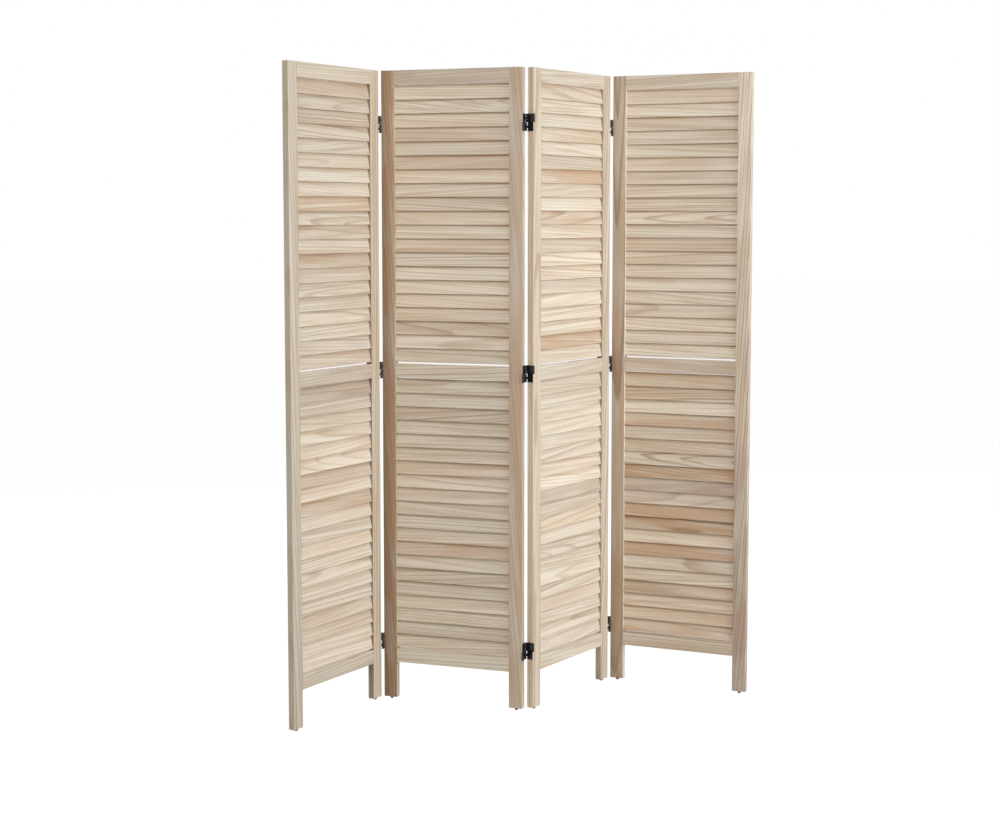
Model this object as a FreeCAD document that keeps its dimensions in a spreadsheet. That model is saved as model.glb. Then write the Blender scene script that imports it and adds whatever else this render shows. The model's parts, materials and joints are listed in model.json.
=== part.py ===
"""Louvred folding screen of four wooden panels, standing in a zigzag on double-action hinges.

Millimetres, +Z up, X to the right and Y away from the front. The origin is on the floor, under the
middle of the standing screen. Each kind of piece is modelled once, in the frame of its panel or of
its hinge, and is then linked to every place where the screen has one.

Panel frame: x from the left end to the right end, y from the front (negative) to the back, z from
the floor. Hinge frame: z from the hinge's middle, x and y from the middle of the gap between the
two panels when they lie in one line.
"""

import FreeCAD, Part
import Sketcher
import math
import os

from FreeCAD import Placement, Rotation, Vector

OUT = "parts"
PANELS = 4
Z_UP = Vector(0, 0, 1)
TURNED_ROUND = Rotation(Z_UP, 180)

# Small rounds have six flat sides, because the screen has so many of them
SIDES = 6
FLATS_TO_CORNERS = f"/ cos(180 / {SIDES})"

# Driving dimensions: alias, value, what it measures
SIZES = [
    ("panel_width", 400, "one panel from end to end"),
    ("screen_height", 1700, "floor to the top of the stiles"),
    ("panel_thickness", 18, "stiles and rails, front to back"),
    ("stile_width", 38, "a stile, end face to inner edge"),
    ("rail_height", 38, "each of the three rails"),
    ("leg_height", 104, "floor to the underside of the bottom rail"),
    ("slat_count", 20, "slats in one louvre field"),
    ("slat_thickness", 5, "one slat"),
    ("slat_width", 40, "one slat across its grain"),
    ("slat_tilt", 11, "slat from the vertical, lower edge to the front, degrees"),
    ("upper_field_head", 0.8, "daylight over the top slat of the upper field"),
    ("upper_field_foot", 4.3, "daylight under the lowest slat of the upper field"),
    ("lower_field_head", 1.7, "daylight over the top slat of the lower field"),
    ("lower_field_foot", 3.2, "daylight under the lowest slat of the lower field"),
    ("slot_depth", 8, "slanted slot, into the stile's inner edge"),
    ("slot_clearance", 0.1, "slat to slot, all round"),
    ("tenon_length", 16, "rail tenon, into the stile"),
    ("tenon_thickness", 6, "rail tenon, front to back"),
    ("tenon_shoulder", 6, "rail edge to tenon, above and below"),
    ("tenon_clearance", 0.1, "tenon to mortise, all round"),
    ("glide_diameter", 10, "head of a foot glide, at the stile"),
    ("glide_foot_diameter", 7, "head of a foot glide, at the floor"),
    ("glide_height", 6, "head of a foot glide, under the stile"),
    ("glide_stem_diameter", 2.5, "nail of a foot glide"),
    ("glide_stem_length", 14, "nail of a foot glide, driven into the stile"),
    ("hinge_height", 45, "one hinge"),
    ("hinge_gap", 5, "between two panels in one line"),
    ("top_hinge_drop", 142, "top of the screen to the top hinge's middle"),
    ("bottom_hinge_rise", 160, "floor to the bottom hinge's middle"),
    ("axis_proud", 3, "hinge axis in front of, or behind, the panel's face"),
    ("leaf_thickness", 1.2, "sheet of leaves and links"),
    ("leaf_inset", 0.5, "leaf plate inside the panel's faces"),
    ("barrel_diameter", 5, "rolled knuckle"),
    ("pin_diameter", 2.4, "hinge pin"),
    ("pin_clearance", 0.05, "pin to knuckle, all round"),
    ("knuckle_gap", 0.25, "between knuckles along a pin"),
    ("notch_clearance", 0.5, "link plate to a leaf's knuckle"),
    ("screw_diameter", 3, "shank of a hinge screw"),
    ("screw_head_diameter", 6, "countersunk head of a hinge screw"),
    ("screw_length", 15, "hinge screw, driven into the stile"),
    ("screw_pitch", 24, "between a leaf's two screws"),
    ("screw_clearance", 0.05, "screw head to its countersink, all round"),
    ("second_panel_heading", -20.2, "panel 2 from the X axis, turned towards the back, degrees"),
    ("first_fold_angle", 80, "panels 1 and 2 from one line, standing, degrees"),
    ("second_fold_angle", 77, "panels 2 and 3 from one line, standing, degrees"),
    ("third_fold_angle", 82, "panels 3 and 4 from one line, standing, degrees"),
]

# Sizes that follow from the driving ones, as expressions on the sheet
OPENING = "(dims.panel_width - 2 * dims.stile_width)"
FIELD = "((dims.screen_height - dims.leg_height - 3 * dims.rail_height) / 2)"
RAIL_FOOT = {
    "bottom": "dims.leg_height",
    "middle": f"(dims.leg_height + dims.rail_height + {FIELD})",
    "top": "(dims.screen_height - dims.rail_height)",
}
FIELD_FOOT = {
    "lower": "(dims.leg_height + dims.rail_height)",
    "upper": f"(dims.leg_height + 2 * dims.rail_height + {FIELD})",
}
SLAT_RISE = "(dims.slat_width * cos(dims.slat_tilt) + dims.slat_thickness * sin(dims.slat_tilt))"
FIRST_SLAT = {field: f"(dims.{field}_field_foot + {SLAT_RISE} / 2)" for field in FIELD_FOOT}
SLAT_SPAN = {
    field: f"({FIELD} - dims.{field}_field_head - dims.{field}_field_foot - {SLAT_RISE})"
    for field in FIELD_FOOT
}
TENON_HEIGHT = "(dims.rail_height - 2 * dims.tenon_shoulder)"
HINGE_MIDDLE = {
    "bottom": "dims.bottom_hinge_rise",
    "middle": f"({RAIL_FOOT['middle']} + dims.rail_height / 2)",
    "top": "(dims.screen_height - dims.top_hinge_drop)",
}
AXIS = "(dims.panel_thickness / 2 + dims.axis_proud)"
LINK_HEIGHT = "((dims.hinge_height - 2 * dims.knuckle_gap) / 2)"
LINK_MIDDLE = f"(dims.knuckle_gap + {LINK_HEIGHT} / 2)"
KNUCKLE = f"(({LINK_HEIGHT} - 2 * dims.knuckle_gap) / 3)"
BORE_FLATS = "(dims.pin_diameter + 2 * dims.pin_clearance)"
LEAF_INSIDE = "(-dims.hinge_gap / 2)"
LEAF_OUTSIDE = "(dims.leaf_thickness - dims.hinge_gap / 2)"


def make_sheet(doc):
    """The spreadsheet of driving dimensions."""
    sheet = doc.addObject("Spreadsheet::Sheet", "dims")
    for row, (alias, value, note) in enumerate(SIZES, start=1):
        sheet.set(f"A{row}", note)
        sheet.set(f"B{row}", str(value))
        sheet.setAlias(f"B{row}", alias)
    doc.recompute()
    return sheet


class Shop:
    """The document, its sheet, and the few operations that every piece is made with."""

    def __init__(self):
        self.doc = FreeCAD.newDocument("folding_screen")
        self.sheet = make_sheet(self.doc)

    def value(self, expression):
        """The number that an expression on the sheet comes to."""
        return float(self.sheet.evalExpression(expression))

    def body(self, name):
        """A new body, which may hold several separate solids."""
        body = self.doc.addObject("PartDesign::Body", name)
        body.AllowCompound = True
        return body

    def origin(self, body, role):
        """A plane or axis of the body's own origin."""
        return next(f for f in body.Origin.OriginFeatures if f.Role == role)

    def attach(self, thing, body, plane, offset, turn=Rotation()):
        """Sets a sketch or primitive on a plane, moved and turned within it."""
        thing.AttachmentSupport = (self.origin(body, plane), [""])
        thing.MapMode = "FlatFace"
        thing.AttachmentOffset = Placement(Vector(*map(self.value, offset)), turn)
        for axis, expression in zip("xyz", offset):
            thing.setExpression(f"AttachmentOffset.Base.{axis}", expression)

    def sketch(self, body, plane, offset, turn=Rotation()):
        """A new sketch whose own origin is at the offset."""
        sketch = body.newObject("Sketcher::SketchObject", "sketch")
        self.attach(sketch, body, plane, offset, turn)
        return sketch

    def drive(self, sketch, name, expression, *constraint):
        """Adds a dimension to a sketch and ties it to the sheet."""
        kind, *rest = constraint
        index = sketch.addConstraint(Sketcher.Constraint(kind, *rest, self.value(expression)))
        sketch.renameConstraint(index, name)
        sketch.setExpression(f"Constraints.{name}", expression)

    def outline(self, sketch, points):
        """A closed run of straight lines, joined end to end, near their final places."""
        lines = []
        for start, end in zip(points, points[1:] + points[:1]):
            line = Part.LineSegment(Vector(*start, 0), Vector(*end, 0))
            lines.append(sketch.addGeometry(line, False))
        for this, following in zip(lines, lines[1:] + lines[:1]):
            sketch.addConstraint(Sketcher.Constraint("Coincident", this, 2, following, 1))
        return lines

    def rectangle(self, sketch, width, height):
        """A rectangle centred on the sketch's origin."""
        w, h = self.value(width) / 2, self.value(height) / 2
        low, right, high, left = self.outline(sketch, [(-w, -h), (w, -h), (w, h), (-w, h)])
        for line in (low, high):
            sketch.addConstraint(Sketcher.Constraint("Horizontal", line))
        for line in (left, right):
            sketch.addConstraint(Sketcher.Constraint("Vertical", line))
        sketch.addConstraint(Sketcher.Constraint("Symmetric", low, 1, high, 1, -1, 1))
        self.drive(sketch, "width", width, "DistanceX", low, 1, low, 2)
        self.drive(sketch, "height", height, "DistanceY", right, 1, right, 2)

    def polygon(self, sketch, corners):
        """A few-sided round on the sketch's origin, given its size across corners."""
        radius = self.value(corners) / 2
        turns = [2 * math.pi * (i - 0.5) / SIDES for i in range(SIDES)]
        edges = self.outline(sketch, [(radius * math.cos(a), radius * math.sin(a)) for a in turns])
        ring = sketch.addGeometry(Part.Circle(Vector(), Z_UP, radius), True)
        sketch.addConstraint(Sketcher.Constraint("Coincident", ring, 3, -1, 1))
        for edge in edges:
            sketch.addConstraint(Sketcher.Constraint("PointOnObject", edge, 1, ring))
        for edge in edges[1:]:
            sketch.addConstraint(Sketcher.Constraint("Equal", edges[0], edge))
        sketch.addConstraint(Sketcher.Constraint("Vertical", edges[0]))
        self.drive(sketch, "corners", corners, "Diameter", ring)

    def feature(self, body, kind, name, sketch, length, reverse=False):
        """A Pad or a Pocket from a sketch, which has to change the volume."""
        before = body.Shape.Volume if body.Tip else 0.0
        made = body.newObject(f"PartDesign::{kind}", name)
        made.Profile = sketch
        made.Reversed = reverse
        made.setExpression("Length", length)
        body.Tip = made
        self.doc.recompute()
        gained = body.Shape.Volume - before
        if gained * (1 if kind == "Pad" else -1) <= 0:
            raise ValueError(f"{body.Name}: {name} changes nothing")
        return made

    def pad(self, body, name, sketch, length, reverse=False):
        return self.feature(body, "Pad", name, sketch, length, reverse)

    def pocket(self, body, name, sketch, length, reverse=False):
        return self.feature(body, "Pocket", name, sketch, length, reverse)

    def row(self, body, name, original, axis, span, count):
        """Repeats a feature along an axis, the last copy a span away from the first."""
        pattern = body.newObject("PartDesign::LinearPattern", name)
        pattern.Originals = [original]
        pattern.Direction = (self.origin(body, axis), [""])
        pattern.setExpression("Length", span)
        pattern.setExpression("Occurrences", count)
        body.Tip = pattern
        self.doc.recompute()
        return pattern

    def taper(self, body, kind, name, small, large):
        """A loft from one sketch to another, added or cut away."""
        made = body.newObject(f"PartDesign::{kind}Loft", name)
        made.Profile = small
        made.Sections = [large]
        made.Ruled = True
        body.Tip = made
        self.doc.recompute()
        return made


def slat_turn(shop):
    """The turn of a slat's section within the plane across the panel's width."""
    return Rotation(Z_UP, -shop.value("dims.slat_tilt"))


def slat_section(shop, body, x, middle, clearance):
    """The slanted section of a slat at a height, or of its slot with a clearance."""
    sketch = shop.sketch(body, "YZ_Plane", ("0", middle, x), slat_turn(shop))
    sketch.setExpression("AttachmentOffset.Rotation.Angle", "-dims.slat_tilt * 1 deg")
    width = f"dims.slat_thickness + 2 * {clearance}"
    shop.rectangle(sketch, width, f"dims.slat_width + 2 * {clearance}")
    return sketch


def make_stile(shop, side):
    """A stile: a plain length of wood with mortises and slanted slots in its inner edge."""
    body = shop.body(f"{side}_stile")
    on_left = side == "left"
    axis = "dims.stile_width / 2" if on_left else "dims.panel_width - dims.stile_width / 2"
    inner = "dims.stile_width" if on_left else "dims.panel_width - dims.stile_width"

    section = shop.sketch(body, "XY_Plane", (axis, "0", "dims.glide_height"))
    shop.rectangle(section, "dims.stile_width", "dims.panel_thickness")
    shop.pad(body, "blank", section, "dims.screen_height - dims.glide_height")

    for rail, foot in RAIL_FOOT.items():
        section = shop.sketch(body, "YZ_Plane", ("0", f"{foot} + dims.rail_height / 2", inner))
        width = "dims.tenon_thickness + 2 * dims.tenon_clearance"
        shop.rectangle(section, width, f"{TENON_HEIGHT} + 2 * dims.tenon_clearance")
        depth = "dims.tenon_length + dims.tenon_clearance"
        shop.pocket(body, f"{rail}_mortise", section, depth, not on_left)

    for field, foot in FIELD_FOOT.items():
        middle = f"{foot} + {FIRST_SLAT[field]}"
        section = slat_section(shop, body, inner, middle, "dims.slot_clearance")
        slot = shop.pocket(body, f"{field}_slot", section, "dims.slot_depth", not on_left)
        shop.row(body, f"{field}_slots", slot, "Z_Axis", SLAT_SPAN[field], "dims.slat_count")
    return body


def make_rail(shop):
    """A rail with a tenon at each end, its underside at z = 0."""
    body = shop.body("rail")
    section = shop.sketch(body, "YZ_Plane", ("0", "dims.rail_height / 2", "dims.stile_width"))
    shop.rectangle(section, "dims.panel_thickness", "dims.rail_height")
    shop.pad(body, "blank", section, OPENING)
    start = "dims.stile_width - dims.tenon_length"
    section = shop.sketch(body, "YZ_Plane", ("0", "dims.rail_height / 2", start))
    shop.rectangle(section, "dims.tenon_thickness", TENON_HEIGHT)
    shop.pad(body, "tenons", section, f"{OPENING} + 2 * dims.tenon_length")
    return body


def make_slats(shop, field):
    """A louvre field: a row of slats whose ends sit in the stiles' slots, the rail under it at z = 0."""
    body = shop.body(f"{field}_slats")
    start = "dims.stile_width - dims.slot_depth + dims.slot_clearance"
    section = slat_section(shop, body, start, FIRST_SLAT[field], "0")
    length = f"{OPENING} + 2 * (dims.slot_depth - dims.slot_clearance)"
    slat = shop.pad(body, "slat", section, length)
    shop.row(body, "field", slat, "Z_Axis", SLAT_SPAN[field], "dims.slat_count")
    return body


def glide_section(shop, body, z, corners):
    """A section across the left foot's glide, at a height."""
    section = shop.sketch(body, "XY_Plane", ("dims.stile_width / 2", "0", z))
    shop.polygon(section, corners)
    return section


def make_glides(shop):
    """The two foot glides of a panel: a tapered head under the stile and a nail driven up into it."""
    body = shop.body("glides")
    foot = glide_section(shop, body, "0", "dims.glide_foot_diameter")
    seat = glide_section(shop, body, "dims.glide_height", "dims.glide_diameter")
    stem = glide_section(shop, body, "dims.glide_height", "dims.glide_stem_diameter")
    head = shop.taper(body, "Additive", "head", foot, seat)
    nail = shop.pad(body, "nail", stem, "dims.glide_stem_length")
    for piece in (head, nail):
        spread = "dims.panel_width - dims.stile_width"
        shop.row(body, f"{piece.Name}s", piece, "X_Axis", spread, "2")
    return body


def barrel(shop, body, name, axis, foot, length):
    """A knuckle's outside, flush with the sheet that it is rolled from."""
    section = shop.sketch(body, "XY_Plane", (*axis, foot))
    shop.polygon(section, f"dims.barrel_diameter {FLATS_TO_CORNERS}")
    shop.pad(body, name, section, length)


def screw_section(shop, body, z, x, corners):
    """A section across a screw, which runs along the panel's width."""
    section = shop.sketch(body, "YZ_Plane", ("0", z, x))
    shop.polygon(section, corners)
    return section


def make_leaf(shop):
    """The left leaf: a plate on the panel's end, rolled knuckles at upper back and lower front."""
    body = shop.body("leaf")
    plate = shop.sketch(body, "YZ_Plane", ("0", "0", LEAF_INSIDE))
    shop.rectangle(plate, "dims.panel_thickness - 2 * dims.leaf_inset", "dims.hinge_height")
    shop.pad(body, "plate", plate, "dims.leaf_thickness")

    reach = "(dims.axis_proud + dims.leaf_inset)"
    for name, side in (("back", ""), ("front", "-")):
        middle = f"{side}{LINK_MIDDLE}"
        foot = f"{middle} - {KNUCKLE} / 2"
        axis = ("0", f"{side}{AXIS}")
        arm = shop.sketch(body, "YZ_Plane", (f"{side}({AXIS} - {reach} / 2)", middle, LEAF_INSIDE))
        shop.rectangle(arm, reach, KNUCKLE)
        shop.pad(body, f"{name}_arm", arm, "dims.leaf_thickness")
        barrel(shop, body, f"{name}_knuckle", axis, foot, KNUCKLE)
        bore = shop.sketch(body, "XY_Plane", (*axis, foot))
        shop.polygon(bore, f"{BORE_FLATS} {FLATS_TO_CORNERS}")
        shop.pocket(body, f"{name}_bore", bore, KNUCKLE, True)

    play = "2 * dims.screw_clearance"
    for name, side in (("upper", ""), ("lower", "-")):
        z = f"{side}dims.screw_pitch / 2"
        small = screw_section(shop, body, z, LEAF_INSIDE, f"dims.screw_diameter + {play}")
        large = screw_section(shop, body, z, LEAF_OUTSIDE, f"dims.screw_head_diameter + {play}")
        shop.taper(body, "Subtractive", f"{name}_countersink", small, large)
    return body


def make_link(shop):
    """A link: a plate between the front and the back axis, with knuckles at both, its middle at z = 0.

    The knuckles grip their pins. A notch between two of them takes a leaf's knuckle.
    """
    body = shop.body("link")
    foot = f"-{LINK_HEIGHT} / 2"
    plate = shop.sketch(body, "YZ_Plane", ("0", "0", "-dims.leaf_thickness / 2"))
    shop.rectangle(plate, f"2 * {AXIS}", LINK_HEIGHT)
    shop.pad(body, "plate", plate, "dims.leaf_thickness")
    for name, side in (("back", ""), ("front", "-")):
        y = f"{side}{AXIS}"
        barrel(shop, body, f"{name}_knuckles", ("0", y), foot, LINK_HEIGHT)
        notch = shop.sketch(body, "YZ_Plane", (y, "0", "dims.barrel_diameter"))
        width = "dims.barrel_diameter + 2 * dims.notch_clearance"
        shop.rectangle(notch, width, f"{KNUCKLE} + 2 * dims.knuckle_gap")
        shop.pocket(body, f"{name}_notch", notch, "2 * dims.barrel_diameter")
    return body


def make_pin(shop):
    """A hinge pin through the three knuckles of one end of a link, its middle at z = 0."""
    body = shop.body("pin")
    section = shop.sketch(body, "XY_Plane", ("0", "0", f"-{LINK_HEIGHT} / 2"))
    shop.polygon(section, "dims.pin_diameter")
    shop.pad(body, "wire", section, LINK_HEIGHT)
    return body


def make_screw(shop):
    """A countersunk hinge screw for the left leaf, its head flush with the leaf's outer face."""
    body = shop.body("screw")
    tip = f"{LEAF_INSIDE} - dims.screw_length"
    shank = screw_section(shop, body, "0", tip, "dims.screw_diameter")
    shop.pad(body, "shank", shank, "dims.screw_length")
    small = screw_section(shop, body, "0", LEAF_INSIDE, "dims.screw_diameter")
    large = screw_section(shop, body, "0", LEAF_OUTSIDE, "dims.screw_head_diameter")
    shop.taper(body, "Additive", "head", small, large)
    return body


class Stance:
    """How the panels stand: their poses, their hinge places and the fold axes at rest."""

    def __init__(self, shop):
        self.width = shop.value("dims.panel_width")
        self.half_gap = shop.value("dims.hinge_gap / 2")
        self.axis = shop.value(AXIS)
        second = shop.value("dims.second_panel_heading")
        folds = [shop.value(f"dims.{name}_fold_angle") for name in ("first", "second", "third")]
        third = second + folds[1]
        self.headings = [second + folds[0], second, third, third - folds[2]]
        self.poses = self.stand()

    def end(self, side):
        """The hinge frame at a panel's left or right end, in the panel's frame."""
        x = self.width + self.half_gap if side == "right" else -self.half_gap
        return Vector(x, 0, 0)

    def pivot(self, fold, side):
        """The axis that a fold turns on, seen from the panel that has it at that end."""
        front = fold != 1
        return self.end(side) + Vector(0, -self.axis if front else self.axis, 0)

    def stand(self):
        """Panel 2 first, and the others round the fold axes that they share."""
        poses = [Placement(Vector(), Rotation(Z_UP, heading)) for heading in self.headings]
        shared = poses[1].multVec(self.pivot(0, "left"))
        poses[0].Base = shared - poses[0].Rotation.multVec(self.pivot(0, "right"))
        for fold in (1, 2):
            shared = poses[fold].multVec(self.pivot(fold, "right"))
            poses[fold + 1].Base = shared - poses[fold + 1].Rotation.multVec(self.pivot(fold, "left"))
        return poses

    def axes(self):
        """The three fold axes on the floor, at rest."""
        return [self.poses[fold].multVec(self.pivot(fold, "right")) for fold in range(PANELS - 1)]


def place(shop, label, pose, spots):
    """One sub-part: each form linked at its spot in the panel's frame, and the whole at its pose."""
    links = []
    for number, (form, spot) in enumerate(spots, start=1):
        link = shop.doc.addObject("App::Link", f"{label}_{number}")
        link.LinkedObject = form
        link.Placement = spot
        links.append(link)
    node = shop.doc.addObject("Part::Compound", label)
    node.Links = links
    node.Placement = pose
    return node


def raised(shop, level):
    """A spot straight above the panel's origin."""
    return Placement(Vector(0, 0, shop.value(level)), Rotation())


def place_panel(shop, forms, stance, panel):
    """The wooden pieces, the glides and the hinge screws of one panel."""
    name = f"panel_{panel + 1}"
    pose = stance.poses[panel]
    hinged = [side for side, free in (("left", 0), ("right", PANELS - 1)) if panel != free]
    nodes = []
    for side in ("left", "right"):
        nodes.append(place(shop, f"{name}_{side}_stile", pose, [(forms[side], Placement())]))
    for rail, foot in RAIL_FOOT.items():
        nodes.append(place(shop, f"{name}_{rail}_rail", pose, [(forms["rail"], raised(shop, foot))]))
    for field, foot in FIELD_FOOT.items():
        nodes.append(place(shop, f"{name}_{field}_slats", pose, [(forms[field], raised(shop, foot))]))
    nodes.append(place(shop, f"{name}_foot_glides", pose, [(forms["glides"], Placement())]))

    half_pitch = shop.value("dims.screw_pitch / 2")
    screws = []
    for side in hinged:
        turn = Rotation() if side == "right" else TURNED_ROUND
        for level in HINGE_MIDDLE.values():
            for rise in (-half_pitch, half_pitch):
                spot = stance.end(side) + Vector(0, 0, shop.value(level) + rise)
                screws.append((forms["screw"], Placement(spot, turn)))
    nodes.append(place(shop, f"{name}_hinge_screws", pose, screws))
    return nodes


def place_fold(shop, forms, stance, fold):
    """The three hinges of one fold, piece by piece.

    A fold towards the front turns on the front pins, so the upper links stay with the left panel
    and the lower links with the right one. The second fold goes to the back, and there they swap.
    """
    name = f"fold_{fold + 1}"
    left, right = (stance.poses[fold], "right"), (stance.poses[fold + 1], "left")
    upper, lower = (right, left) if fold == 1 else (left, right)
    levels = [shop.value(level) for level in HINGE_MIDDLE.values()]
    link_middle = shop.value(LINK_MIDDLE)

    def set_of(part, form, carrier, turn, shifts):
        pose, side = carrier
        spots = []
        for level in levels:
            for shift in shifts:
                spot = stance.end(side) + shift + Vector(0, 0, level)
                spots.append((forms[form], Placement(spot, turn)))
        return place(shop, f"{name}_{part}", pose, spots)

    nodes = [
        set_of("left_leaves", "leaf", left, Rotation(), [Vector()]),
        set_of("right_leaves", "leaf", right, TURNED_ROUND, [Vector()]),
    ]
    for half, carrier, z in (("upper", upper, link_middle), ("lower", lower, -link_middle)):
        ends = [Vector(0, y, z) for y in (-stance.axis, stance.axis)]
        nodes.append(set_of(f"{half}_links", "link", carrier, Rotation(), [Vector(0, 0, z)]))
        nodes.append(set_of(f"{half}_link_pins", "pin", carrier, Rotation(), ends))
    return nodes


def centre(nodes):
    """Moves the whole screen so that the middle of what it covers is at the origin."""
    cover = FreeCAD.BoundBox()
    for node in nodes:
        cover.add(node.Shape.BoundBox)
    shift = Vector(-cover.Center.x, -cover.Center.y, 0)
    for node in nodes:
        node.Placement = Placement(node.Placement.Base + shift, node.Placement.Rotation)
    return shift


def check(doc, nodes):
    """Stops on any object that failed, and on any sub-part without a sound solid."""
    for thing in doc.Objects:
        if "Invalid" in thing.State or "Error" in thing.State:
            raise ValueError(f"{thing.Label} failed: {thing.State}")
    for node in nodes:
        shape = node.Shape
        if shape.isNull() or not shape.isValid() or not shape.Solids:
            raise ValueError(f"{node.Label} has no valid solid")


def main():
    shop = Shop()
    forms = {side: make_stile(shop, side) for side in ("left", "right")}
    forms["rail"] = make_rail(shop)
    forms |= {field: make_slats(shop, field) for field in FIELD_FOOT}
    forms["glides"] = make_glides(shop)
    forms["leaf"] = make_leaf(shop)
    forms["link"] = make_link(shop)
    forms["pin"] = make_pin(shop)
    forms["screw"] = make_screw(shop)

    stance = Stance(shop)
    nodes = []
    for panel in range(PANELS):
        nodes += place_panel(shop, forms, stance, panel)
    for fold in range(PANELS - 1):
        nodes += place_fold(shop, forms, stance, fold)
    shop.doc.recompute()
    shift = centre(nodes)
    shop.doc.recompute()
    check(shop.doc, nodes)

    os.makedirs(OUT, exist_ok=True)
    for node in nodes:
        node.Shape.exportStep(os.path.join(OUT, f"{node.Label}.step"))
    for fold, axis in enumerate(stance.axes(), start=1):
        print(f"fold_{fold} axis at {axis.x + shift.x:.4f}, {axis.y + shift.y:.4f}")
    print(f"{len(nodes)} sub-parts, {sum(len(node.Shape.Solids) for node in nodes)} solids")


if __name__ == "__main__":
    main()
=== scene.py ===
"""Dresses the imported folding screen: eased and grained boards, slats, round hinges, glides and a stage.

Metres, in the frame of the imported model. Sizes come from the frame where it has them. A panel's own
frame has its origin on the floor under the middle of the left stile, x along the panel, y to the back.
A hinge's own frame has its origin in the middle of the gap between two panels that lie in one line.
"""

import json
import math
import random

import bmesh
import bpy
from bpy.props import FloatProperty, FloatVectorProperty, IntProperty, PointerProperty
from mathutils import Euler, Matrix, Vector

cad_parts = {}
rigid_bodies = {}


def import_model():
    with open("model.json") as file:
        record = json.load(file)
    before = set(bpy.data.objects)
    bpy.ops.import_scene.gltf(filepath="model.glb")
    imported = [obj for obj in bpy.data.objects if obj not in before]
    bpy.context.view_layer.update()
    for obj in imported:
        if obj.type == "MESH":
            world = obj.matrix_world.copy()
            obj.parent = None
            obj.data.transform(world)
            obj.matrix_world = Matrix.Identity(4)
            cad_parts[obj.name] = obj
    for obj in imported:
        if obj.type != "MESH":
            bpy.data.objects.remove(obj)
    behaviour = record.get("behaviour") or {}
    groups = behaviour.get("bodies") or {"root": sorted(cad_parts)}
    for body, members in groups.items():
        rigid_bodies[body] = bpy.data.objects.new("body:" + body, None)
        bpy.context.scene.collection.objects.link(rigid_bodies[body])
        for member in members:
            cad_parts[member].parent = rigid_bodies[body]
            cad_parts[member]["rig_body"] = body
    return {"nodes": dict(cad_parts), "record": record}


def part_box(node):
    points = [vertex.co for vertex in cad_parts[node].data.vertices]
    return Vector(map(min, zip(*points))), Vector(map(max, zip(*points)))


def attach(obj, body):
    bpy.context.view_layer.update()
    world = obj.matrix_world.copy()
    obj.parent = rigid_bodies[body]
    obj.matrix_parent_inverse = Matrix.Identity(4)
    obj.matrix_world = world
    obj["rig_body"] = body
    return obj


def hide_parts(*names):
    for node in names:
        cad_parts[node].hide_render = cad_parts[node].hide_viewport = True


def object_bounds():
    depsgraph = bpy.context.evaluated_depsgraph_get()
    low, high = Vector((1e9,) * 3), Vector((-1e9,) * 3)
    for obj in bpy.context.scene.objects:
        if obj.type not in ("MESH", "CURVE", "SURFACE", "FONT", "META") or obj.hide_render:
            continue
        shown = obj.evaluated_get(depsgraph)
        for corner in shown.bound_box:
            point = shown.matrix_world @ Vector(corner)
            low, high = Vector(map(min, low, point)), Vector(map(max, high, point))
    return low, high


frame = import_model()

bl_info = {
    "name": "Folding screen",
    "version": (1, 0, 0),
    "blender": (4, 5, 0),
    "location": "View3D > Sidebar > Screen",
    "description": "Builds the boards, slats, hinges and stage of a louvred folding screen",
    "category": "Object",
}

CAD_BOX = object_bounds()
MM = 0.001
# Points nearer than this lie in one place, and faces that turn by less lie in one plane
TOUCH = 0.02 * MM
FLAT = math.radians(1)
WHITE = (1, 1, 1, 1)
PANELS = (1, 2, 3, 4)
FOLDS = (1, 2, 3)
HALF_TURN = Matrix.Rotation(math.pi, 4, "Z")
# From (along, depth, up) of a level board to (across, depth, along)
LENGTHWISE = Matrix(((0, 0, 1, 0), (0, 1, 0, 0), (1, 0, 0, 0), (0, 0, 0, 1)))


def colour(name, what, default):
    return FloatVectorProperty(name=name, description=what, subtype="COLOR", size=3, min=0, max=1,
                               default=default)


def length(name, what, default):
    return FloatProperty(name=name, description=what, default=default, min=0, unit="LENGTH", precision=5)


def angle(name, what, degrees):
    return FloatProperty(name=name, description=what, default=math.radians(degrees), subtype="ANGLE")


def position(name, what, default):
    return FloatVectorProperty(name=name, description=what, default=default, subtype="XYZ", unit="LENGTH")


def extent(name, what, default):
    return FloatVectorProperty(name=name, description=what, default=default, size=2, unit="LENGTH")


def watts(name, what, default):
    return FloatProperty(name=name, description=what, default=default, min=0, unit="POWER")


def share(name, what, default):
    return FloatProperty(name=name, description=what, default=default, min=0, max=1, subtype="FACTOR")


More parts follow.
